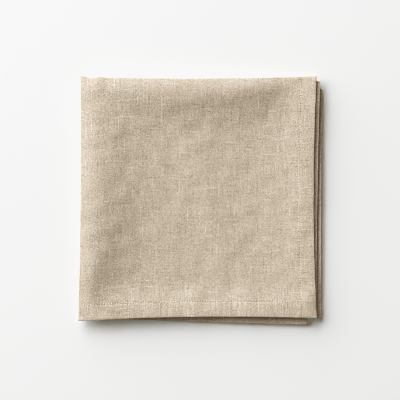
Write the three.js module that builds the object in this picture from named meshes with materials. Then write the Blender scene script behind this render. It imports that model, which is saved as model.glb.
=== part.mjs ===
import * as THREE from 'three';
import { mergeVertices } from 'three/addons/utils/BufferGeometryUtils.js';

// A hemmed linen napkin, folded in half twice into a square of four layers, lying on a table.
// The first fold runs along the left edge and the second along the back edge, so the open hems lie at
// the right and at the front. All four layers are one cloth, so they are one solid.
// Lengths are in millimetres. +Z is up from the table, +Y runs to the back fold, and the origin is
// on the table under the middle of the folded square.

// The flat cloth
const NAPKIN = 450;
const HALF = NAPKIN / 2;
const CLOTH = 1.0;
const HEM_WIDTH = 14.5;
const HEM_RAMP = 2;
const HEM_THICKNESS = 1.3;

// Spacing of the layers, middle to middle: pressed together in the middle, round a fold, and at the crest
// of the soft roll beside a fold
const PITCH_CENTRE = 1.3;
const PITCH_FOLD = 2.0;
const PITCH_CREST = 2.75;

// The rolls, a row each: how far in from the fold the crest lies, how slowly it sinks beyond, where the
// stiff hem has drawn it tight and how suddenly, how it swells along the fold, and how much of its height
// the fold itself keeps
const ROLLS = {
  left: {
    crest: 17.5, sink: 31, tight: 225, sudden: 4,
    swell: { start: 0.85, middle: 1.1, end: 0.75 },
    keeps: { start: 0.64, middle: 0.62, end: 0.9 },
  },
  back: {
    crest: 15, sink: 23, tight: 198, sudden: 7,
    swell: { start: 1.0, middle: 1.08, end: 0.5 },
    keeps: { start: 0.64, middle: 0.64, end: 0.64 },
  },
};
const CREST_AT_HEM = 3;
const SINK_AT_HEM = 9;

// The stacked hems, a row each: how far from the fold the cloth starts and ends its rise to them, the
// spacing of the layers there, and the spacing at the fold that holds down their end, and for how far
const HEMS = {
  side: {
    rise: 162, risen: { start: 203, middle: 224, end: 222 },
    pitch: { start: 2.05, middle: 1.9, end: 1.8 }, endPitch: 1.65, held: 30,
  },
  front: {
    rise: 178, risen: { start: 212, middle: 224, end: 222 },
    pitch: { start: 2.1, middle: 1.85, end: 1.8 }, endPitch: 1.8, held: 16,
  },
};

// Where the corner of the two folds lies from the origin
const CORNER_X = -110.4;
const CORNER_Y = 113.5;

// The outlines of the two folds, measured inwards from straight
const BACK_FOLD = { start: -2.2, middle: -0.6, end: -3.2 };
const LEFT_FOLD = { start: 0, middle: 0, end: -3.1 };

// How far the folds of the lower layers lie inside those of the upper layers, which lean out over the
// table, and the share of it at the inner two layers of the back fold
const LEFT_LEAN = { start: 6, middle: 9, end: 15 };
const BACK_LEAN = 6;
const INNER_LEAN = 0.8;

// The four quarters, a row each: how far the side hem reaches from the left fold, from the back to the
// front, how far the front hem reaches from the back fold, from the left to the right, how many layers the
// edge of the side hem sags, and how far it is tucked in at the back fold
const QUARTERS = {
  top: {
    side: { start: 218.1, middle: 215.3, end: 218.2 },
    front: { start: 224.8, middle: 220.9, end: 222.2 },
    sag: { start: 0, middle: 0.12, end: 0.05 }, tuck: 0,
  },
  second: {
    side: { start: 221.4, middle: 218.9, end: 217.9 },
    front: { start: 224.0, middle: 219.0, end: 218.0 },
    sag: { start: 0, middle: 0.55, end: 0.55 }, tuck: 0,
  },
  third: {
    side: { start: 220.4, middle: 214.5, end: 209.4 },
    front: { start: 222.3, middle: 225.6, end: 228.5 },
    sag: { start: 0, middle: 0, end: 0 }, tuck: 0,
  },
  bottom: {
    side: { start: 224.1, middle: 223.6, end: 224.2 },
    front: { start: 222.3, middle: 224.8, end: 225.0 },
    sag: { start: 0, middle: 0, end: 0 }, tuck: 7,
  },
};
const SAG_WIDTH = 7;
const TUCK_START = 4;
const TUCK_END = 8.5;

// The layers count from 0 at the table, so the back fold turns about a level between the second and third
const MIDDLE_LEVEL = 1.5;

// Half the cloth that goes round a fold, and how far the turns of the left and back folds reach out
const TURN = PITCH_FOLD * Math.PI / 2;
const LEFT_TURN_REACH = PITCH_FOLD / 2;
const BACK_TURN_REACH = PITCH_FOLD * MIDDLE_LEVEL;

// Steps of the mesh over half the cloth: round the turn, over the open cloth, and over the hem
const TURN_STEPS = 6;
const OPEN_STEPS = 14;
const OPEN_GRADING = 1.6;
const HEM_STEPS = 2;

// Distance over which the cloth's slope is read
const SLOPE_STEP = 0.05;

const { clamp, lerp, smoothstep } = THREE.MathUtils;

// A parabola through a row's values at its start, middle and end
function bow({ start, middle, end }, t) {
  return start * (1 - t) * (1 - 2 * t) + middle * 4 * t * (1 - t) + end * t * (2 * t - 1);
}

// Distances from the fold line at which the cloth is divided, closer together near the fold
function stations() {
  const hemStart = HALF - HEM_WIDTH;
  const open = hemStart - HEM_RAMP - TURN;
  const graded = (i) => (i / OPEN_STEPS) ** OPEN_GRADING;
  const turn = Array.from({ length: TURN_STEPS }, (_, i) => TURN * i / TURN_STEPS);
  const middle = Array.from({ length: OPEN_STEPS + 1 }, (_, i) => TURN + open * graded(i));
  const hem = Array.from({ length: HEM_STEPS + 1 }, (_, i) => hemStart + HEM_WIDTH * i / HEM_STEPS);
  return [...turn, ...middle, ...hem];
}

// The turn of the cloth at a fold, for a point at a distance along the cloth from the fold line: the sine
// and cosine of its angle round the turn, and the length of the flat run beyond it
function wrap(along) {
  const angle = clamp(along / TURN, -1, 1) * Math.PI / 2;
  return { sine: Math.sin(angle), cosine: Math.cos(angle), run: Math.max(0, Math.abs(along) - TURN) };
}

// A size of a roll, at a distance along its fold from the corner that the two folds share
function drawnTight(row, size, atHem, along) {
  return lerp(size, atHem, clamp(along / row.tight, 0, 1) ** row.sudden);
}

// Height of the soft roll beside a fold, from 0 to about 1
function roll(row, distance, along) {
  const past = Math.max(0, distance - drawnTight(row, row.crest, CREST_AT_HEM, along));
  const sink = drawnTight(row, row.sink, SINK_AT_HEM, along);
  return bow(row.swell, along / HALF) / (1 + (past / sink) ** 2);
}

// How much of its height the cloth keeps towards a fold, where it bends over to the layer below
function bent(row, distance, along) {
  const before = clamp(1 - distance / drawnTight(row, row.crest, CREST_AT_HEM, along), 0, 1);
  return 1 - (1 - bow(row.keeps, along / HALF)) * before ** 2;
}

// The spacing of the layers where they rise from the middle to their stacked hems
function raised(row, spacing, distance, along) {
  const share = smoothstep(distance, row.rise, bow(row.risen, along / HALF));
  const stacked = lerp(row.endPitch, bow(row.pitch, along / HALF), smoothstep(along, 0, row.held));
  return lerp(spacing, stacked, share);
}

// Spacing of the layers at a place measured from the left fold and from the back fold
function pitch(leftward, backward) {
  const fromLeft = Math.max(0, leftward);
  const fromBack = Math.max(0, backward);
  const left = roll(ROLLS.left, fromLeft, fromBack);
  const back = roll(ROLLS.back, fromBack, fromLeft);
  const rolled = lerp(PITCH_CENTRE, PITCH_CREST, left + back - left * back);
  const sides = raised(HEMS.side, rolled, fromLeft, fromBack);
  const all = raised(HEMS.front, sides, fromBack, fromLeft);
  const kept = bent(ROLLS.left, fromLeft, fromBack) * bent(ROLLS.back, fromBack, fromLeft);
  return lerp(PITCH_CENTRE, all, kept);
}

// How far the side hem of a quarter reaches, at a share of the way from the back fold to the front
function sideReach(quarter, t) {
  return bow(quarter.side, t) - quarter.tuck * (1 - smoothstep(t * HALF, TUCK_START, TUCK_END));
}

// The folded place of a point of the flat cloth. Across runs from the left fold, positive in the outer two
// layers, and up runs from the back fold, positive in the upper two layers.
function folded(across, up) {
  const left = wrap(across);
  const back = wrap(up);
  const outer = (1 + left.sine) / 2;
  const upper = (1 + back.sine) / 2;
  const alongBack = Math.abs(across) / HALF;
  const alongLeft = Math.abs(up) / HALF;

  const blend = (of) => {
    const outerPair = lerp(of(QUARTERS.bottom), of(QUARTERS.top), upper);
    const innerPair = lerp(of(QUARTERS.third), of(QUARTERS.second), upper);
    return lerp(innerPair, outerPair, outer);
  };
  const side = blend((quarter) => sideReach(quarter, alongLeft));
  const front = blend((quarter) => bow(quarter.front, alongBack));
  const sag = blend((quarter) => bow(quarter.sag, alongLeft));

  const leftOutline = CLOTH / 2 + bow(LEFT_FOLD, alongLeft);
  const backOutline = CLOTH / 2 + bow(BACK_FOLD, alongBack);
  const leftEdge = leftOutline + bow(LEFT_LEAN, alongLeft) * (1 - upper);
  const backEdge = backOutline + BACK_LEAN * lerp(INNER_LEAN, 1 - upper, outer);

  const turnLevels = 1 + left.sine / 2;
  const acrossRun = LEFT_TURN_REACH * (1 - left.cosine) + left.run;
  const upRun = BACK_TURN_REACH - PITCH_FOLD * turnLevels * back.cosine + back.run;
  const acrossShare = acrossRun / (LEFT_TURN_REACH + HALF - TURN);
  const upShare = upRun / (BACK_TURN_REACH + HALF - TURN);
  const fromLeft = lerp(leftEdge, side, acrossShare);
  const fromBack = lerp(backEdge, front, upShare);

  const sagged = sag * smoothstep(Math.abs(across), HALF - SAG_WIDTH, HALF);
  const level = MIDDLE_LEVEL + turnLevels * back.sine - sagged;
  const height = CLOTH / 2 + level * pitch(fromLeft - leftOutline, fromBack - backOutline);
  return new THREE.Vector3(CORNER_X + fromLeft, CORNER_Y - fromBack, height);
}

// The direction through the cloth at a point, out of its right side
function through(across, up) {
  const along = folded(across + SLOPE_STEP, up).sub(folded(across - SLOPE_STEP, up));
  const over = folded(across, up + SLOPE_STEP).sub(folded(across, up - SLOPE_STEP));
  return over.cross(along).normalize();
}

// Thickness of the cloth, greater over the turned hem on all four sides
function thickness(across, up) {
  const fromMiddle = Math.max(Math.abs(across), Math.abs(up));
  const hemStart = HALF - HEM_WIDTH;
  const hem = smoothstep(fromMiddle, hemStart - HEM_RAMP, hemStart);
  return lerp(CLOTH, HEM_THICKNESS, hem);
}

// A flat square of cloth whose points are carried into the folds. The table holds up the bottom layer.
function foldedNapkin() {
  const half = stations();
  const steps = half.length - 1;
  const flat = new THREE.BoxGeometry(NAPKIN, NAPKIN, CLOTH, 2 * steps, 2 * steps, 1);
  flat.deleteAttribute('normal');
  flat.deleteAttribute('uv');
  const geometry = mergeVertices(flat);
  const points = geometry.getAttribute('position');
  const station = (distance) => Math.sign(distance) * half[Math.round(Math.abs(distance) / HALF * steps)];

  for (let i = 0; i < points.count; i += 1) {
    const across = station(points.getX(i));
    const up = -station(points.getY(i));
    const face = Math.sign(points.getZ(i)) * thickness(across, up) / 2;
    const place = folded(across, up).addScaledVector(through(across, up), face);
    points.setXYZ(i, place.x, place.y, Math.max(0, place.z));
  }
  geometry.computeVertexNormals();
  return geometry;
}

const linen = new THREE.MeshStandardMaterial({ color: 0xc7b8a4, roughness: 0.95, metalness: 0 });
const napkin = new THREE.Mesh(foldedNapkin(), linen);
napkin.name = 'napkin';

const group = new THREE.Group();
group.add(napkin);

export default group;
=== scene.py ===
import math

import bpy
import numpy as np
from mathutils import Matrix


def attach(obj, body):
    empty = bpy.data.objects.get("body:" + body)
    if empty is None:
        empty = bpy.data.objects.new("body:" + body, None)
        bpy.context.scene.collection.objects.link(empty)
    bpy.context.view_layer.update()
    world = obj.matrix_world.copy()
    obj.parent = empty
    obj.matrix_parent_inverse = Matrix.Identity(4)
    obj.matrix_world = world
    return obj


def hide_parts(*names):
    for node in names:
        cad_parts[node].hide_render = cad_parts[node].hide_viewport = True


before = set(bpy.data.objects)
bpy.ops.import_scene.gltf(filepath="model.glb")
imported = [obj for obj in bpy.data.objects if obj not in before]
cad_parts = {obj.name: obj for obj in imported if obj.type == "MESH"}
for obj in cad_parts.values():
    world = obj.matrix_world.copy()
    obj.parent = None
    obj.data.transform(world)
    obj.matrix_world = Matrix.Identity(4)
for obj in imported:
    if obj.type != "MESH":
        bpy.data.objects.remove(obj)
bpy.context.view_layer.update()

# The linen. One square of undyed plain-weave flax, turned under twice and sewn along its four sides, then
# folded in half to the left and in half again to the back. It is one thin sheet in four layers: the folds
# puff into soft rolls, the middle sinks, and the open hems at the right and the front lie a little uneven.

# The whole cloth and its hem, in millimetres as all its sizes are, and a millimetre in metres
MM = 0.001
NAPKIN = 450.0
HALF = NAPKIN / 2
HEM_WIDTH = 14.5

# Thickness of the cloth, and of its hem, whose turned plies lie on the wrong side
CLOTH = 0.5
HEM_CLOTH = 0.75

# Spacing of the layers, middle to middle: pressed together in the middle, round a fold, and at the crest of
# the soft roll beside a fold
PITCH_CENTRE = 0.8
PITCH_FOLD = 2.0
PITCH_CREST = 2.23


def smoothstep(value, start, end):
    """A soft step from 0 at the start to 1 at the end."""
    t = np.clip((value - start) / (end - start), 0, 1)
    return t * t * (3 - 2 * t)


def mix(a, b, share):
    """The value that lies a share of the way from a to b."""
    return a + (b - a) * share


def bow(row, t):
    """A parabola through a row's values at its start, middle and end."""
    start, middle, end = row
    return start * (1 - t) * (1 - 2 * t) + middle * 4 * t * (1 - t) + end * t * (2 * t - 1)


# The rolls: how far in from the fold the crest lies, how slowly it sinks beyond, how far along the fold the
# stiff hem has drawn it tight and how suddenly, and, from the start to the end of the fold, how high the roll
# swells and how much of its height the fold keeps
ROLLS = {
    "left": {
        "crest": 17.5, "sink": 31.0, "tight": 225.0, "sudden": 4,
        "swell": (0.85, 1.1, 0.75), "keeps": (0.7, 0.69, 0.9),
    },
    "back": {
        "crest": 14.0, "sink": 23.0, "tight": 198.0, "sudden": 7,
        "swell": (1.0, 1.08, 0.5), "keeps": (0.68, 0.67, 0.62),
    },
}

# The crest and the sink of a roll that is drawn tight, and how sharply the cloth bends over at a fold
CREST_AT_HEM = 4.5
SINK_AT_HEM = 9.0
BENDING = 2.0


def drawn_tight(row, size, at_hem, along):
    """A size of a roll, at a distance along its fold from the corner that the two folds share."""
    return mix(row[size], at_hem, np.clip(along / row["tight"], 0, 1) ** row["sudden"])


def roll(row, distance, along):
    """Height of the soft roll beside a fold, from 0 to about 1."""
    past = np.maximum(0, distance - drawn_tight(row, "crest", CREST_AT_HEM, along))
    sink = drawn_tight(row, "sink", SINK_AT_HEM, along)
    return bow(row["swell"], along / HALF) / (1 + (past / sink) ** 2)


def bent(row, distance, along):
    """How much of its height the cloth keeps towards a fold, where it bends over to the layer below."""
    before = np.clip(1 - distance / drawn_tight(row, "crest", CREST_AT_HEM, along), 0, 1)
    return 1 - (1 - bow(row["keeps"], along / HALF)) * before ** BENDING


# The stacked hems: how far from the fold the cloth starts and ends its rise to them, the spacing of the
# layers there, and the spacing at the end where a fold holds them down, and for how far. The side hems go
# from the back to the front, and the front hems from the left to the right
HEMS = {
    "side": {
        "rise": 159.0, "risen": (203.0, 224.0, 222.0),
        "pitch": (1.5, 1.4, 1.4), "end": 1.3, "held": 30.0,
    },
    "front": {
        "rise": 187.0, "risen": (212.0, 224.0, 222.0),
        "pitch": (1.8, 1.52, 1.45), "end": 1.55, "held": 16.0,
    },
}


def raised(row, spacing, distance, along):
    """The spacing of the layers where they rise from the middle to their stacked hems."""
    share = smoothstep(distance, row["rise"], bow(row["risen"], along / HALF))
    stacked = mix(row["end"], bow(row["pitch"], along / HALF), smoothstep(along, 0, row["held"]))
    return mix(spacing, stacked, share)


def pitch(from_left, from_back):
    """Spacing of the layers at a place of the folded square."""
    from_left = np.maximum(0, from_left)
    from_back = np.maximum(0, from_back)
    left = roll(ROLLS["left"], from_left, from_back)
    back = roll(ROLLS["back"], from_back, from_left)
    spacing = mix(PITCH_CENTRE, PITCH_CREST, left + back - left * back)
    spacing = raised(HEMS["side"], spacing, from_left, from_back)
    spacing = raised(HEMS["front"], spacing, from_back, from_left)
    kept = bent(ROLLS["left"], from_left, from_back) * bent(ROLLS["back"], from_back, from_left)
    return mix(PITCH_CENTRE, spacing, kept)


# The corner of the two folds, their outlines inwards from straight at the start, middle and end, and the
# ripple of the back fold's outline near the corner
CORNER = (-110.4, 113.5)
LEFT_FOLD = (-0.2, 0.0, -2.2)
BACK_FOLD = (-1.7, -0.3, -2.5)
RIPPLE = {"first": 3.7, "length": 18.5, "depth": 1.0, "end": 42.0}


def ripple(along):
    """The uneven outline of the back fold near the corner of the folds."""
    wave = np.cos((along - RIPPLE["first"]) / RIPPLE["length"] * 2 * math.pi)
    return -RIPPLE["depth"] * wave * (1 - smoothstep(along, RIPPLE["first"], RIPPLE["end"]))


def left_outline(up):
    """How far to the right of the corner the left fold lies."""
    return CLOTH / 2 + bow(LEFT_FOLD, np.abs(up) / HALF)


def back_outline(across):
    """How far in front of the corner the back fold lies."""
    along = np.abs(across)
    return CLOTH / 2 + bow(BACK_FOLD, along / HALF) + ripple(along)


# Soft creases of the upper layers: where each starts and ends from the two folds, its width,
# and how far it lifts the top layer, or lets it sink where that is below 0
CREASES = (
    {"start": (104.0, 70.0), "end": (134.0, 170.0), "width": 14.0, "rise": 0.4},
    {"start": (60.0, 125.0), "end": (60.0, 160.0), "width": 12.0, "rise": -0.25},
    {"start": (214.0, 30.0), "end": (214.0, 105.0), "width": 20.0, "rise": 0.55},
    {"start": (156.0, 186.0), "end": (157.0, 224.0), "width": 8.0, "rise": 0.5},
    {"start": (104.0, 202.0), "end": (106.0, 224.0), "width": 7.0, "rise": 0.5},
    {"start": (208.0, 207.0), "end": (212.0, 210.0), "width": 7.0, "rise": 0.55},
)


def creased(from_left, from_back):
    """How far the creases lift the top layer at a place of the folded square."""
    place = np.stack([from_left, from_back], axis=-1)
    lift = 0
    for crease in CREASES:
        start = np.array(crease["start"])
        run = np.array(crease["end"]) - start
        along = np.clip((place - start) @ run / (run @ run), 0, 1)
        beside = np.linalg.norm(place - start - along[..., None] * run, axis=-1)
        lift = lift + crease["rise"] * np.exp(-((beside / crease["width"]) ** 2))
    return lift


# The slight unevenness of handled cloth: a number of low waves, of lengths between two, in any direction
WAVES = 24
WAVE_LENGTHS = (14.0, 34.0)
WAVE_RISE = 0.018
SEED = 8
chance = np.random.default_rng(SEED)
wave_lengths = chance.uniform(*WAVE_LENGTHS, WAVES)
wave_angles = chance.uniform(0, math.pi, WAVES)
wave_starts = chance.uniform(0, 2 * math.pi, WAVES)


def uneven(from_left, from_back):
    """How far the low waves lift the top layer at a place of the folded square."""
    lift = 0
    for length, angle, start in zip(wave_lengths, wave_angles, wave_starts):
        along = from_left * math.cos(angle) + from_back * math.sin(angle)
        lift = lift + WAVE_RISE * np.sin(along / length * 2 * math.pi + start)
    return lift


# The layers count from 0 at the table, so the turn of the back fold is centred between the second and third.
# Each turn takes a run of cloth on both sides of its fold line, and reaches out a little for each layer
# between its centre and the cloth
MIDDLE_LEVEL = 1.5
TOP_LEVEL = 3
TURN = PITCH_FOLD * math.pi / 2
FOLD_REACH = 1.15
LEFT_TURN_REACH = FOLD_REACH / 2
BACK_TURN_REACH = FOLD_REACH * MIDDLE_LEVEL


def turned(along):
    """The cloth's angle round a fold, at a distance from the fold line."""
    return np.clip(along / TURN, -1, 1) * math.pi / 2


def run_beyond(along):
    """The cloth's flat run beyond the turn of a fold."""
    return np.maximum(0, np.abs(along) - TURN)


def layer_shares(across, up):
    """How far a place is in the outer two layers, and how far in the upper two, from 0 to 1."""
    outer = (1 + np.sin(turned(across))) / 2
    upper = (1 + np.sin(turned(up))) / 2
    return outer, upper


def layers_out(across):
    """How many layers the cloth lies above or below the centre of the back fold's turn."""
    return 1 + np.sin(turned(across)) / 2


# The four quarters of the cloth: how far the side hem reaches at the back, middle and front, how far the
# front hem reaches at the left, middle and right, how many layers the side hem's edge sags from the back to
# the front, or lifts where that is below 0, and how far it is tucked in at the back fold
QUARTERS = {
    "top": {
        "side": (218.1, 215.3, 218.2), "front": (224.8, 220.9, 222.2),
        "sag": (-0.1, 0.05, 0.05), "tuck": 0.0,
    },
    "second": {
        "side": (221.4, 218.9, 217.9), "front": (224.0, 219.0, 218.0),
        "sag": (-0.1, 0.1, 0.1), "tuck": 0.0,
    },
    "third": {
        "side": (220.4, 214.5, 209.4), "front": (222.3, 225.6, 228.5),
        "sag": (-0.12, 0.0, 0.0), "tuck": 0.0,
    },
    "bottom": {
        "side": (224.0, 222.4, 222.8), "front": (222.3, 223.5, 222.0),
        "sag": (-0.62, -1.13, -0.72), "tuck": 7.0,
    },
}

# How far from the back fold the tuck starts and ends to ease, and the width of the edge that sags or lifts
TUCK_START = 6.5
TUCK_END = 8.5
SAG_WIDTH = 9.0

# How far the folds of the lower layers lie inside those of the upper layers, which lean out over the table,
# and the share of it at the inner two layers of the back fold
LEFT_LEAN = (6.0, 9.0, 15.0)
BACK_LEAN = 6.0
INNER_LEAN = 0.8


def of_quarters(value_of, outer, upper):
    """A value of the quarters, where a place is in the outer and the upper layers by these shares."""
    values = {name: value_of(quarter) for name, quarter in QUARTERS.items()}
    inner_value = mix(values["third"], values["second"], upper)
    outer_value = mix(values["bottom"], values["top"], upper)
    return mix(inner_value, outer_value, outer)


def side_reach(quarter, t):
    """How far the side hem reaches, at a share of the way from the back fold to the front hem."""
    tucked = quarter["tuck"] * (1 - smoothstep(t * HALF, TUCK_START, TUCK_END))
    return bow(quarter["side"], t) - tucked


def distance_right(across, up):
    """How far to the right of the corner of the folds the folded cloth lies."""
    outer, upper = layer_shares(across, up)
    along = np.abs(up) / HALF
    fold = left_outline(up) + bow(LEFT_LEAN, along) * (1 - upper)
    hem = of_quarters(lambda quarter: side_reach(quarter, along), outer, upper)
    run = LEFT_TURN_REACH * (1 - np.cos(turned(across))) + run_beyond(across)
    return mix(fold, hem, run / (LEFT_TURN_REACH + HALF - TURN))


def distance_forward(across, up):
    """How far in front of the corner of the folds the folded cloth lies."""
    outer, upper = layer_shares(across, up)
    along = np.abs(across) / HALF
    fold = back_outline(across) + BACK_LEAN * mix(INNER_LEAN, 1 - upper, outer)
    hem = of_quarters(lambda quarter: bow(quarter["front"], along), outer, upper)
    turn_reach = FOLD_REACH * layers_out(across) * np.cos(turned(up))
    run = BACK_TURN_REACH - turn_reach + run_beyond(up)
    return mix(fold, hem, run / (BACK_TURN_REACH + HALF - TURN))


def level(across, up):
    """How many layers above the lowest one the folded cloth lies."""
    outer, upper = layer_shares(across, up)
    along = np.abs(up) / HALF
    sag = of_quarters(lambda quarter: bow(quarter["sag"], along), outer, upper)
    at_edge = smoothstep(np.abs(across), HALF - SAG_WIDTH, HALF)
    return MIDDLE_LEVEL + layers_out(across) * np.sin(turned(up)) - sag * at_edge


def folded(across, up):
    """The folded place of points of the flat cloth, in millimetres. Across is positive in the outer two
    layers and up is positive in the upper two."""
    from_left = distance_right(across, up)
    from_back = distance_forward(across, up)
    spacing = pitch(from_left - left_outline(up), from_back - back_outline(across))
    lift = creased(from_left, from_back) + uneven(from_left, from_back)
    # The spaces below the top layer share its lift
    height = CLOTH / 2 + level(across, up) * (spacing + lift / TOP_LEVEL)
    return np.stack([CORNER[0] + from_left, CORNER[1] - from_back, height], axis=-1)


# How far to each side of a point the slope of the cloth is read
SLOPE_STEP = 0.05


def right_side(across, up):
    """The direction out of the cloth's right side."""
    along = folded(across + SLOPE_STEP, up) - folded(across - SLOPE_STEP, up)
    over = folded(across, up + SLOPE_STEP) - folded(across, up - SLOPE_STEP)
    out = np.cross(over, along)
    return out / np.linalg.norm(out, axis=-1, keepdims=True)


# The hem's step to the single cloth, its slight rise and soft edge on the right side, the sewn groove, and
# the round of the edge, which starts a small share of the way in, so that a narrow rim is left
HEM_STEP = 1.5
HEM_RAISE = 0.1
PILLOW = 3.5
GROOVE_DEPTH = 0.15
GROOVE_WIDTH = 0.9
EDGE_ROUND = 0.3
RIM_START = 0.03


def rounded(edge):
    """How much of its thickness the cloth has at a distance from its edge."""
    share = np.clip(edge / EDGE_ROUND, RIM_START, 1)
    return np.sqrt(1 - (1 - share) ** 2)


def faces_of_cloth(across, up):
    """How far the right side and the wrong side lie from the middle of the cloth."""
    edge = HALF - np.maximum(np.abs(across), np.abs(up))
    hem = 1 - smoothstep(edge, HEM_WIDTH, HEM_WIDTH + HEM_STEP)
    groove = GROOVE_DEPTH * np.exp(-(((edge - HEM_WIDTH) / GROOVE_WIDTH) ** 2))
    pillow = 1 - np.clip(1 - edge / PILLOW, 0, 1) ** 2
    right = CLOTH / 2 + HEM_RAISE * hem * pillow - groove
    wrong = CLOTH / 2 - mix(CLOTH, HEM_CLOTH, hem) + groove
    middle = (right + wrong) / 2
    return mix(middle, right, rounded(edge)), mix(middle, wrong, rounded(edge))


# How finely the cloth is divided: in a turn and over the plain cloth, closer together towards the fold, and,
# counted from the edge, round the edge, over the hem and across the seam
FINE_STEPS = {"turn": 9, "plain": 104}
COARSE_STEPS = {"turn": 8, "plain": 52}
PLAIN_GRADING = 1.35
EDGE_LINES = EDGE_ROUND * np.linspace(0, 1, 5) ** 1.6
HEM_LINES = np.linspace(1.2, 12.6, 8)
SEAM_LINES = HEM_WIDTH + np.array([-0.9, -0.4, 0.0, 0.4, 0.9, 1.7, 3.1])


def stations(turn, plain):
    """Distances from the fold line at which half the cloth is divided."""
    hem = HALF - np.concatenate([EDGE_LINES, HEM_LINES, SEAM_LINES])[::-1]
    round_turn = TURN * np.linspace(0, 1, turn + 1)[:-1]
    graded = np.linspace(0, 1, plain + 1)[:-1] ** PLAIN_GRADING
    return np.concatenate([round_turn, TURN + (hem[0] - TURN) * graded, hem])


# The places of both faces, none of them below the table. The outer two layers and the upper two are divided
# more finely, as they show most
lines = np.concatenate([-stations(**COARSE_STEPS)[:0:-1], stations(**FINE_STEPS)])
across_grid, up_grid = np.meshgrid(lines, lines, indexing="ij")
middle_places = folded(across_grid, up_grid)
outward = right_side(across_grid, up_grid)
right_face, wrong_face = faces_of_cloth(across_grid, up_grid)
right_places = middle_places + outward * right_face[..., None]
wrong_places = middle_places + outward * wrong_face[..., None]
places = np.concatenate([right_places.reshape(-1, 3), wrong_places.reshape(-1, 3)])
places[:, 2] = np.maximum(0, places[:, 2])

# The right face, the wrong face, and a narrow rim that joins them along the edge
columns, rows = across_grid.shape
index = np.arange(columns * rows).reshape(columns, rows)
quad_corners = [index[:-1, :-1], index[:-1, 1:], index[1:, 1:], index[1:, :-1]]
quads = np.stack(quad_corners, axis=-1).reshape(-1, 4)
rim = np.concatenate([index[:-1, 0], index[-1, :-1], index[:0:-1, -1], index[0, :0:-1]])
rim_next = np.roll(rim, -1)
wrong_first = columns * rows
rim_quads = np.stack([rim, rim_next, rim_next + wrong_first, rim + wrong_first], axis=-1)
faces = np.concatenate([quads, quads[:, ::-1] + wrong_first, rim_quads])

cloth_mesh = bpy.data.meshes.new("napkin_cloth")
cloth_mesh.from_pydata(places * MM, [], faces.tolist())
cloth_mesh.update()

# Each corner of a face also has its place on the flat cloth, from 0 to 1 each way
flat_map = cloth_mesh.uv_layers.new(name="flat_cloth")
flat_places = np.stack([across_grid, up_grid], axis=-1).reshape(-1, 2) / NAPKIN + 0.5
flat_places = np.concatenate([flat_places, flat_places])
corners = np.zeros(len(cloth_mesh.loops), dtype=np.int32)
cloth_mesh.loops.foreach_get("vertex_index", corners)
flat_map.data.foreach_set("uv", flat_places[corners].astype(np.float32).ravel())
cloth_mesh.shade_smooth()


def put_in_scene(name, data):
    """A new object of the scene."""
    made = bpy.data.objects.new(name, data)
    bpy.context.scene.collection.objects.link(made)
    return made


napkin_cloth = put_in_scene("napkin_cloth", cloth_mesh)

# The weave, in millimetres on the flat cloth: the spacing of the threads, how far they waver and over what
# length, the lengths of streaks, slubs and worn patches, and how far apart two threads' noise is read
THREAD = 0.72
WAVER = 0.8
WAVER_LENGTH = 60.0
STREAK_LENGTH = 18.0
SLUB_LENGTH = 20.0
PATCH_LENGTH = 16.0
THREAD_SHIFT = 7.37

# The colours of the darkest and lightest threads, the tone between them that the cloth has on the whole,
# how strongly each kind of unevenness shows, how much more the streaks show in the hem, and over what width
# that comes in
DARK_THREAD = (0.25, 0.2, 0.134)
LIGHT_THREAD = (0.826, 0.713, 0.614)
MIDDLE_TONE = 0.498
WARP_SHOWS = 1.9
WEFT_SHOWS = 1.6
GRAIN_SHOWS = 0.43
PATCH_SHOWS = 0.05
SLUB_SHOWS = 0.24
FLECK_SHOWS = 0.5
HEM_STREAKS = 1.3
HEM_BLEND = 4.0

# Where noise from 0 to 1 stands for a thick, pale slub or a thin, dark one, its middle, and the share of the
# crossings that are flecks
PALE_SLUB = (0.8, 0.9)
DARK_SLUB = (0.15, 0.05)
NOISE_MIDDLE = 0.5
FLECK_SHARE = 0.002

# The finish: the height of the threads in millimetres, and a dull surface
RELIEF = 0.05
LINEN_ROUGHNESS = 0.9
LINEN_GLOSS = 0.2

# The sewing: the spacing of its stitches, how far from it the cloth puckers, the size of the needle's pits,
# where on the wave of the stitches they lie, and how strongly the pits' painted shade and the puckers show
STITCH_PITCH = 2.4
SEAM = HALF - HEM_WIDTH
STITCHES = round(2 * SEAM / STITCH_PITCH)
PUCKER_WIDTH = 10.0
PIT_SIZE = 0.7
PIT_ON_WAVE = (0.2, 0.9)
PIT_SHADE_SHOWS = 0.28
PUCKER_SHOWS = 0.4


def matte_material(name, roughness, gloss):
    """A new material, and its shader with its roughness and gloss set."""
    material = bpy.data.materials.new(name)
    material.use_nodes = True
    shader = material.node_tree.nodes["Principled BSDF"]
    shader.inputs["Roughness"].default_value = roughness
    shader.inputs["Specular IOR Level"].default_value = gloss
    return material, shader


def shade(tree, kind, inputs, **settings):
    """The first output of a new shader node, whose inputs are linked or set by name or number."""
    made = tree.nodes.new("ShaderNode" + kind)
    for name, value in settings.items():
        setattr(made, name, value)
    for name, value in inputs.items():
        if isinstance(value, bpy.types.NodeSocket):
            tree.links.new(value, made.inputs[name])
        else:
            made.inputs[name].default_value = value
    return made.outputs[0]


def calc(tree, operation, *numbers):
    """The result of one operation on numbers."""
    return shade(tree, "Math", dict(enumerate(numbers)), operation=operation)


def calc_places(tree, operation, *places):
    """The result of one operation on places."""
    return shade(tree, "VectorMath", dict(enumerate(places)), operation=operation)


def scaled(tree, place, scale):
    """A place of the flat cloth, scaled both ways."""
    return calc_places(tree, "MULTIPLY", place, (scale, scale, 0))


def parts_of(tree, place):
    """How far across and how far up a place of the flat cloth is."""
    return shade(tree, "SeparateXYZ", {"Vector": place}).node.outputs[:2]


def ramp(tree, value, start, end):
    """A soft step from 0 to 1."""
    inputs = {"Value": value, "From Min": start, "From Max": end}
    return shade(tree, "MapRange", inputs, interpolation_type="SMOOTHSTEP")


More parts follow.
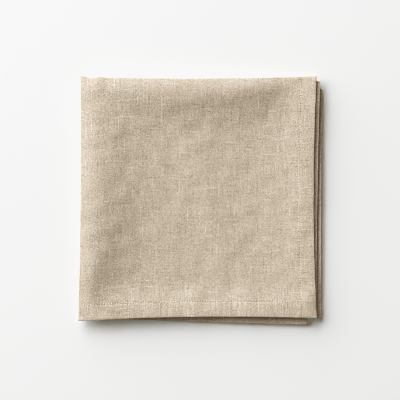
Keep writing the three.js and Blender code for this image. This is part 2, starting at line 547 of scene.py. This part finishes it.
def colour_between(tree, share, dark, light):
    """The colour that lies a share of the way from dark to light."""
    inputs = {"Factor": share, "A": (*dark, 1), "B": (*light, 1)}
    return shade(tree, "Mix", inputs, data_type="RGBA").node.outputs["Result"]


def noise(tree, place):
    """Smooth noise from 0 to 1 at a place."""
    return shade(tree, "TexNoise", {"Vector": place, "Scale": 1.0, "Detail": 0.0}, noise_dimensions="2D")


def along_threads(tree, along, thread, length):
    """Noise that changes along each thread and from thread to thread."""
    step = calc(tree, "DIVIDE", along, length / THREAD)
    row = calc(tree, "MULTIPLY", thread, THREAD_SHIFT)
    return noise(tree, shade(tree, "CombineXYZ", {"X": step, "Y": row}))


def centred(tree, value, strength):
    """Noise as a tone round 0."""
    return calc(tree, "MULTIPLY", calc(tree, "SUBTRACT", value, NOISE_MIDDLE), strength)


def standing_out(tree, value, strength):
    """Noise as a tone that stays near 0 along most of a thread and is well off it here and there."""
    offset = calc(tree, "SUBTRACT", value, NOISE_MIDDLE)
    sharpened = calc(tree, "MULTIPLY", offset, calc(tree, "ABSOLUTE", offset))
    return calc(tree, "MULTIPLY", sharpened, strength)


def streaks(tree, along, thread, edge, strength):
    """The tones along the threads of one direction, stronger in the hems where these threads end."""
    streak = standing_out(tree, along_threads(tree, along, thread, STREAK_LENGTH), strength)
    at_hem = ramp(tree, edge, SEAM - HEM_BLEND, SEAM)
    return calc(tree, "MULTIPLY", streak, calc(tree, "MULTIPLY_ADD", at_hem, HEM_STREAKS - 1, 1))


def slubs(tree, along, thread):
    """1 in the few thick, pale lengths of thread and -1 in the few thin, dark ones."""
    value = along_threads(tree, along, thread, SLUB_LENGTH)
    return calc(tree, "SUBTRACT", ramp(tree, value, *PALE_SLUB), ramp(tree, value, *DARK_SLUB))


def sewn(tree, edge, along):
    """Masks of the painted shade in a seam's needle holes and of the puckers beside it, at a distance from
    the napkin's middle.
    """
    beside = calc(tree, "ABSOLUTE", calc(tree, "SUBTRACT", edge, SEAM))
    count = calc(tree, "MULTIPLY", calc(tree, "SUBTRACT", along, HEM_WIDTH), STITCHES / (2 * SEAM))
    wave = calc(tree, "COSINE", calc(tree, "MULTIPLY", count, 2 * math.pi))
    near = ramp(tree, beside, PUCKER_WIDTH, 0)
    on_seam = ramp(tree, beside, PIT_SIZE, PIT_SIZE / 2)
    pit_shade = calc(tree, "MULTIPLY", on_seam, ramp(tree, wave, *PIT_ON_WAVE))
    return pit_shade, calc(tree, "MULTIPLY", near, wave)


def bulging(tree, count):
    """The round of each thread between its two neighbours."""
    return calc(tree, "ABSOLUTE", calc(tree, "SINE", calc(tree, "MULTIPLY", count, math.pi)))


def total(tree, values):
    """The sum of all the values."""
    sum_so_far = values[0]
    for value in values[1:]:
        sum_so_far = calc(tree, "ADD", sum_so_far, value)
    return sum_so_far


# The threads are counted both ways over the flat cloth, and waver a little
linen, linen_shader = matte_material("linen", LINEN_ROUGHNESS, LINEN_GLOSS)
weave = linen.node_tree
flat_place = shade(weave, "UVMap", {}, uv_map="flat_cloth")
place = scaled(weave, flat_place, NAPKIN)
waver = noise(weave, scaled(weave, flat_place, NAPKIN / WAVER_LENGTH)).node.outputs["Color"]
wavering = calc_places(weave, "MULTIPLY_ADD", waver, (WAVER, WAVER, 0), place)
threads = scaled(weave, wavering, 1 / THREAD)
crossing = calc_places(weave, "FLOOR", threads)
across_threads, up_threads = parts_of(weave, threads)
warp_thread, weft_thread = parts_of(weave, crossing)

# The side hems draw the weft into streaks and the front and back hems the warp, and both are sewn
place_across, place_up = parts_of(weave, place)
from_middle = calc_places(weave, "ABSOLUTE", calc_places(weave, "SUBTRACT", place, (HALF, HALF, 0)))
edge_across, edge_up = parts_of(weave, from_middle)
warp_streak = streaks(weave, up_threads, warp_thread, edge_up, WARP_SHOWS)
weft_streak = streaks(weave, across_threads, weft_thread, edge_across, WEFT_SHOWS)
# The needle holes along each seam are darkened in the colour: painted shade
side_pit_shade, side_puckers = sewn(weave, edge_across, place_up)
front_pit_shade, front_puckers = sewn(weave, edge_up, place_across)
pit_shade = calc(weave, "MAXIMUM", side_pit_shade, front_pit_shade)
puckers = calc(weave, "ADD", side_puckers, front_puckers)

# At each crossing of the threads, either the warp or the weft lies on top
warp_on_top = calc(weave, "FLOORED_MODULO", calc(weave, "ADD", warp_thread, weft_thread), 2)
streak = shade(weave, "Mix", {"Factor": warp_on_top, "A": weft_streak, "B": warp_streak})
warp_slub = slubs(weave, up_threads, warp_thread)
weft_slub = slubs(weave, across_threads, weft_thread)
slub = calc(weave, "ADD", warp_slub, weft_slub)
crossing_chance = shade(weave, "TexWhiteNoise", {"Vector": crossing}, noise_dimensions="2D")
fleck = calc(weave, "GREATER_THAN", crossing_chance, 1 - FLECK_SHARE)
patch = noise(weave, scaled(weave, flat_place, NAPKIN / PATCH_LENGTH))
tone = total(weave, [
    streak,
    centred(weave, crossing_chance, GRAIN_SHOWS),
    centred(weave, patch, PATCH_SHOWS),
    calc(weave, "MULTIPLY", slub, SLUB_SHOWS),
    calc(weave, "MULTIPLY", fleck, -FLECK_SHOWS),
    # painted shade of the needle holes
    calc(weave, "MULTIPLY", pit_shade, -PIT_SHADE_SHOWS),
    MIDDLE_TONE,
])

# Each thread bulges between its crossings, and the cloth puckers beside the seam
bulge = calc(weave, "MULTIPLY", bulging(weave, across_threads), bulging(weave, up_threads))
surface = calc(weave, "MULTIPLY_ADD", puckers, -PUCKER_SHOWS, calc(weave, "MULTIPLY", bulge, tone))
bump = shade(weave, "Bump", {"Height": surface, "Distance": RELIEF * MM})
weave.links.new(colour_between(weave, tone, DARK_THREAD, LIGHT_THREAD), linen_shader.inputs["Base Color"])
weave.links.new(bump, linen_shader.inputs["Normal"])
cloth_mesh.materials.append(linen)

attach(napkin_cloth, "root")
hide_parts("napkin")

# The sewing thread. One row of machine lockstitches in matte linen thread goes round the napkin through all
# the plies of the hem, so short stitches show on both faces, lying in the groove that they have drawn.
STITCH_LENGTH = 1.8
STITCH_WIDTH = 0.6
STITCH_HEIGHT = 0.3
STITCH_STRAYS = 0.08

# Each stitch tapers to its ends: where its rings lie along half its length, their sizes and their sides
RING_PLACES = np.array([-1.0, -0.7, 0.0, 0.7, 1.0])
RING_SIZES = np.array([0.3, 0.8, 1.0, 0.8, 0.3])
RING_SIDES = 6
POINTS_EACH = RING_SIDES * len(RING_PLACES)

# Where each stitch lies on the flat cloth, a little astray, and which way it runs
stitch_middles = ((np.arange(STITCHES) + 0.5) / STITCHES * 2 - 1) * SEAM
one_side = np.stack([np.full(STITCHES, SEAM), stitch_middles], axis=-1)
two_sides = np.concatenate([one_side, one_side * (-1, 1)])
seam_places = np.concatenate([two_sides, two_sides[:, ::-1]])
seam_places = seam_places + chance.normal(0, STITCH_STRAYS, seam_places.shape)
seam_runs = np.repeat([(0, 1), (1, 0)], 2 * STITCHES, axis=0)


def stitch_rings(outward_sign, depth):
    """The rings of points of every stitch on one face of the cloth."""
    steps = RING_PLACES * STITCH_LENGTH / 2
    flat = seam_places[:, None, :] + seam_runs[:, None, :] * steps[None, :, None]
    across, up = flat[..., 0], flat[..., 1]
    out = right_side(across, up) * outward_sign
    middle = folded(across, up) + out * depth
    forward = middle[:, -1:] - middle[:, :1]
    beside = np.cross(out, forward / np.linalg.norm(forward, axis=-1, keepdims=True))
    turns = np.arange(RING_SIDES) * 2 * math.pi / RING_SIDES
    wide = beside[:, :, None, :] * np.cos(turns)[:, None] * STITCH_WIDTH / 2
    high = out[:, :, None, :] * np.sin(turns)[:, None] * STITCH_HEIGHT / 2
    return middle[:, :, None, :] + (wide + high) * RING_SIZES[None, :, None, None]


def stitch_faces(first):
    """The faces of one stitch, whose points are numbered from first."""
    rings = first + np.arange(POINTS_EACH).reshape(-1, RING_SIDES)
    next_points = np.roll(rings, -1, axis=1)
    sides = np.stack([rings[:-1], next_points[:-1], next_points[1:], rings[1:]], axis=-1)
    return sides.reshape(-1, 4).tolist() + [rings[0, ::-1].tolist(), rings[-1].tolist()]


stitch_points = np.concatenate([
    stitch_rings(1, CLOTH / 2).reshape(-1, 3),
    stitch_rings(-1, HEM_CLOTH - CLOTH / 2).reshape(-1, 3),
])
stitch_points[:, 2] = np.maximum(0, stitch_points[:, 2])
first_points = range(0, len(stitch_points), POINTS_EACH)
stitch_mesh = bpy.data.meshes.new("stitches")
stitch_mesh.from_pydata(
    stitch_points * MM, [], [face for first in first_points for face in stitch_faces(first)],
)
stitch_mesh.update()
stitch_mesh.shade_smooth()
stitches = put_in_scene("stitches", stitch_mesh)

# Painted shade: the thread's colour is a little darker in patches of noise, standing in for the shade between
# its twists
THREAD_COLOUR = (0.72, 0.63, 0.53)
TWIST_SHADE_COLOUR = (0.52, 0.44, 0.36)
TWISTS = 160.0
TWIST_DETAIL = 5.0
TWIST_EDGES = (0.35, 0.65)
THREAD_ROUGHNESS = 0.8
THREAD_GLOSS = 0.25
thread_material, thread_shader = matte_material("thread", THREAD_ROUGHNESS, THREAD_GLOSS)
strand = thread_material.node_tree
strand_place = shade(strand, "TexCoord", {}).node.outputs["Object"]
twist_shade_mask = shade(strand, "TexNoise", {"Vector": strand_place, "Scale": TWISTS, "Detail": TWIST_DETAIL})
twist_shaded_colour = colour_between(strand, ramp(strand, twist_shade_mask, *TWIST_EDGES), TWIST_SHADE_COLOUR, THREAD_COLOUR)
strand.links.new(twist_shaded_colour, thread_shader.inputs["Base Color"])
stitch_mesh.materials.append(thread_material)

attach(stitches, "root")

# The table that the napkin lies on, the light and the view: a plain pale floor, one low broad lamp from the
# upper left, a weak warm card opposite it and a little warm light from all around, seen from straight above.
# The floor and the lamps are measured in metres.
FLOOR_REACH = 6.0
FLOOR_COLOUR = (0.908, 0.924, 0.955)
FLOOR_ROUGHNESS = 1.0
FLOOR_GLOSS = 0.0
floor_corners = np.array([(-1, -1, 0), (1, -1, 0), (1, 1, 0), (-1, 1, 0)]) * FLOOR_REACH
floor_mesh = bpy.data.meshes.new("floor")
floor_mesh.from_pydata(floor_corners, [], [(0, 1, 2, 3)])
floor = put_in_scene("floor", floor_mesh)
floor_paint, floor_shader = matte_material("floor_paint", FLOOR_ROUGHNESS, FLOOR_GLOSS)
floor_shader.inputs["Base Color"].default_value = (*FLOOR_COLOUR, 1)
floor_mesh.materials.append(floor_paint)

# Each lamp's width and length, its height above the table and the side it stands on in degrees, its power in
# watts and its colour
WHITE = (1.0, 1.0, 1.0)
WARM_WHITE = (1.0, 0.92, 0.71)
LAMP_DISTANCE = 5.0
LAMPS = {
    "lamp": {"size": (8.4, 2.6), "height": 14.0, "side": 135.0, "power": 1215.0, "colour": WHITE},
    "card": {"size": (5.0, 2.5), "height": 35.0, "side": -45.0, "power": 40.0, "colour": WARM_WHITE},
}
ROOM_LIGHT = 0.12


def direction_to(height, side):
    """The direction of a lamp at a height and on a side, in degrees."""
    rise, turn = np.radians([height, side])
    return np.array([np.cos(rise) * np.cos(turn), np.cos(rise) * np.sin(turn), np.sin(rise)])


for name, row in LAMPS.items():
    lamp_data = bpy.data.lights.new(name, "AREA")
    lamp_data.shape = "RECTANGLE"
    lamp_data.size, lamp_data.size_y = row["size"]
    lamp_data.energy = row["power"]
    lamp_data.color = row["colour"]
    lamp = put_in_scene(name, lamp_data)
    lamp.location = LAMP_DISTANCE * direction_to(row["height"], row["side"])
    lamp.rotation_euler = (-lamp.location).to_track_quat("-Z", "Y").to_euler()

room = bpy.data.worlds.new("room")
room.use_nodes = True
room_light = room.node_tree.nodes["Background"]
room_light.inputs["Color"].default_value = (*WARM_WHITE, 1)
room_light.inputs["Strength"].default_value = ROOM_LIGHT
bpy.context.scene.world = room

# The picture's tones, as a camera prints them: each level of light and the level it is shown at, deeper in
# the shadows, gentler towards white and level beyond it. One curve acts on all three colours
TONES = ((0.12, 0.1), (0.36, 0.383), (0.58, 0.62), (1.0, 0.94))
ALL_COLOURS = 3
view = bpy.context.scene.view_settings
view.view_transform = "Standard"
view.use_curve_mapping = True
view.curve_mapping.extend = "HORIZONTAL"
tone_curve = view.curve_mapping.curves[ALL_COLOURS]
for light_level, shown_level in TONES[:-1]:
    tone_curve.points.new(light_level, shown_level)
tone_curve.points[-1].location = TONES[-1]
view.curve_mapping.update()

# The camera: the picture's width and where the two folds lie in it, in pixels, the width of a pixel at the
# height of the cloth, in millimetres, how many pixels wide each one blurs, and the lens and its sensor
PHOTO_PIXELS = 400
LEFT_FOLD_AT = 80
BACK_FOLD_AT = 77
PIXEL = 0.92
SEEN_HEIGHT = 6.0
PIXEL_BLUR = 1.0
LENS = 100.0
SENSOR = 36.0
camera_data = bpy.data.cameras.new("camera")
camera_data.lens = LENS
camera_data.sensor_width = SENSOR
camera = put_in_scene("camera", camera_data)
camera_x = CORNER[0] + (PHOTO_PIXELS / 2 - LEFT_FOLD_AT) * PIXEL
camera_y = CORNER[1] - (PHOTO_PIXELS / 2 - BACK_FOLD_AT) * PIXEL
camera_height = SEEN_HEIGHT + PHOTO_PIXELS * PIXEL * LENS / SENSOR
camera.location = (camera_x * MM, camera_y * MM, camera_height * MM)
bpy.context.scene.camera = camera
bpy.context.scene.cycles.filter_width = PIXEL_BLUR
